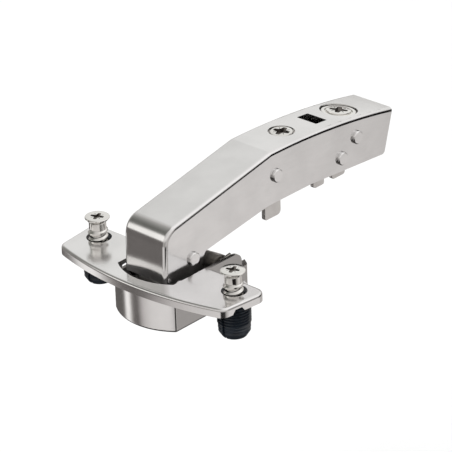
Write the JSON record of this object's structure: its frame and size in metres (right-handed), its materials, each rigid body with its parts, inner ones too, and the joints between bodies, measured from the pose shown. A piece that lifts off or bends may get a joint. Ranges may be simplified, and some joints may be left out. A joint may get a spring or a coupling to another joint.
{
  "type": "concealed cup hinge",
  "caption": "Concealed cup hinge for a cabinet door: winged cup, crossing levers, long folded arm with overlay and depth screws, and a clip that hooks on a mounting plate.",
  "frame": {"origin": "centre of the 35 mm cup on the plane of the door's inner face, where the flange's skirt rests", "axes": "+Z out of the door's inner face, +Y from the cup towards the arm's rear end and the door's edge, +X along the lever pins"},
  "size_m": [0.061, 0.0975, 0.0348],
  "materials": {
    "pressed_steel": "nickel plated, satin",
    "lever_steel": "nickel plated, plain",
    "pin_steel": "riveted, plain",
    "screw_steel": "polished nickel",
    "spring_steel": "bare spring wire",
    "dowel_plastic": "moulded, slightly glossy"
  },
  "bodies": {
    "cup": {"cup": "pressed_steel", "left_dowel": "dowel_plastic", "right_dowel": "dowel_plastic", "left_lever_stub": "pin_steel", "right_lever_stub": "pin_steel", "inner_cup_pin": "pin_steel", "left_closing_spring": "spring_steel", "right_closing_spring": "spring_steel"},
    "left_screw": {"left_fixing_screw": "screw_steel"},
    "right_screw": {"right_fixing_screw": "screw_steel"},
    "outer_lever": {"outer_lever": "lever_steel"},
    "inner_lever": {"inner_lever": "lever_steel"},
    "arm": {"arm": "pressed_steel", "outer_arm_pin": "pin_steel", "inner_arm_pin": "pin_steel", "front_guide_pin": "pin_steel", "rear_guide_pin": "pin_steel", "left_tilt_rivet": "pin_steel", "right_tilt_rivet": "pin_steel"},
    "overlay_screw": {"overlay_screw": "screw_steel"},
    "carrier": {"carrier": "lever_steel"},
    "depth_screw": {"depth_screw": "screw_steel"},
    "clip_slide": {"clip_slide": "lever_steel", "latch_pin": "pin_steel", "latch_spring": "spring_steel"},
    "release_latch": {"release_latch": "lever_steel"}
  },
  "joints": [
    {"name": "outer_lever_turn", "type": "hinge", "parent": "cup", "child": "outer_lever", "pos_m": [0, 0.0093, -0.0024], "axis": [-1, 0, 0], "range_deg": [0, 110.24], "stiffness_Nm_per_rad": 0.06, "springref_deg": -57.3, "deforming": ["left_closing_spring", "right_closing_spring"]},
    {"name": "arm_turn", "type": "hinge", "parent": "outer_lever", "child": "arm", "pos_m": [0, -0.0029, 0.0051], "axis": [-1, 0, 0], "range_deg": [-15.3, 0]},
    {"name": "inner_lever_turn", "type": "hinge", "parent": "cup", "child": "inner_lever", "pos_m": [0, 0.011, -0.0076], "axis": [-1, 0, 0], "range_deg": [0, 82.1]},
    {"name": "left_screw_drive", "type": "slide", "parent": "cup", "child": "left_screw", "axis": [0, 0, 1], "range_m": [-0.0055, 0]},
    {"name": "right_screw_drive", "type": "slide", "parent": "cup", "child": "right_screw", "axis": [0, 0, 1], "range_m": [-0.0055, 0]},
    {"name": "carrier_tilt", "type": "hinge", "parent": "arm", "child": "carrier", "pos_m": [0, 0.0624, 0.0158], "axis": [1, 0, 0], "range_deg": [-1.5, 1.5]},
    {"name": "overlay_turn", "type": "hinge", "parent": "arm", "child": "overlay_screw", "pos_m": [0, 0.0403, 0.02], "axis": [0, 0, 1], "range_deg": [-181, 181]},
    {"name": "slide_travel", "type": "slide", "parent": "carrier", "child": "clip_slide", "axis": [0, 1, 0], "range_m": [-0.00156, 0.00156]},
    {"name": "depth_turn", "type": "hinge", "parent": "carrier", "child": "depth_screw", "pos_m": [0, 0.0636, 0.02142], "axis": [0, 0.1358, 0.9907], "range_deg": [-50, 50]},
    {"name": "latch_turn", "type": "hinge", "parent": "clip_slide", "child": "release_latch", "pos_m": [0, 0.0645, 0.0103], "axis": [1, 0, 0], "range_deg": [0, 12], "stiffness_Nm_per_rad": 0.02, "springref_deg": -17.19, "deforming": ["latch_spring"]}
  ],
  "couplings": [
    {"joint": "arm_turn", "follows": "outer_lever_turn", "ratio": -0.13823},
    {"joint": "inner_lever_turn", "follows": "outer_lever_turn", "ratio": 0.74408},
    {"joint": "overlay_turn", "follows": "carrier_tilt", "ratio": 120},
    {"joint": "depth_turn", "follows": "slide_travel", "rad_per_m": 503}
  ]
}
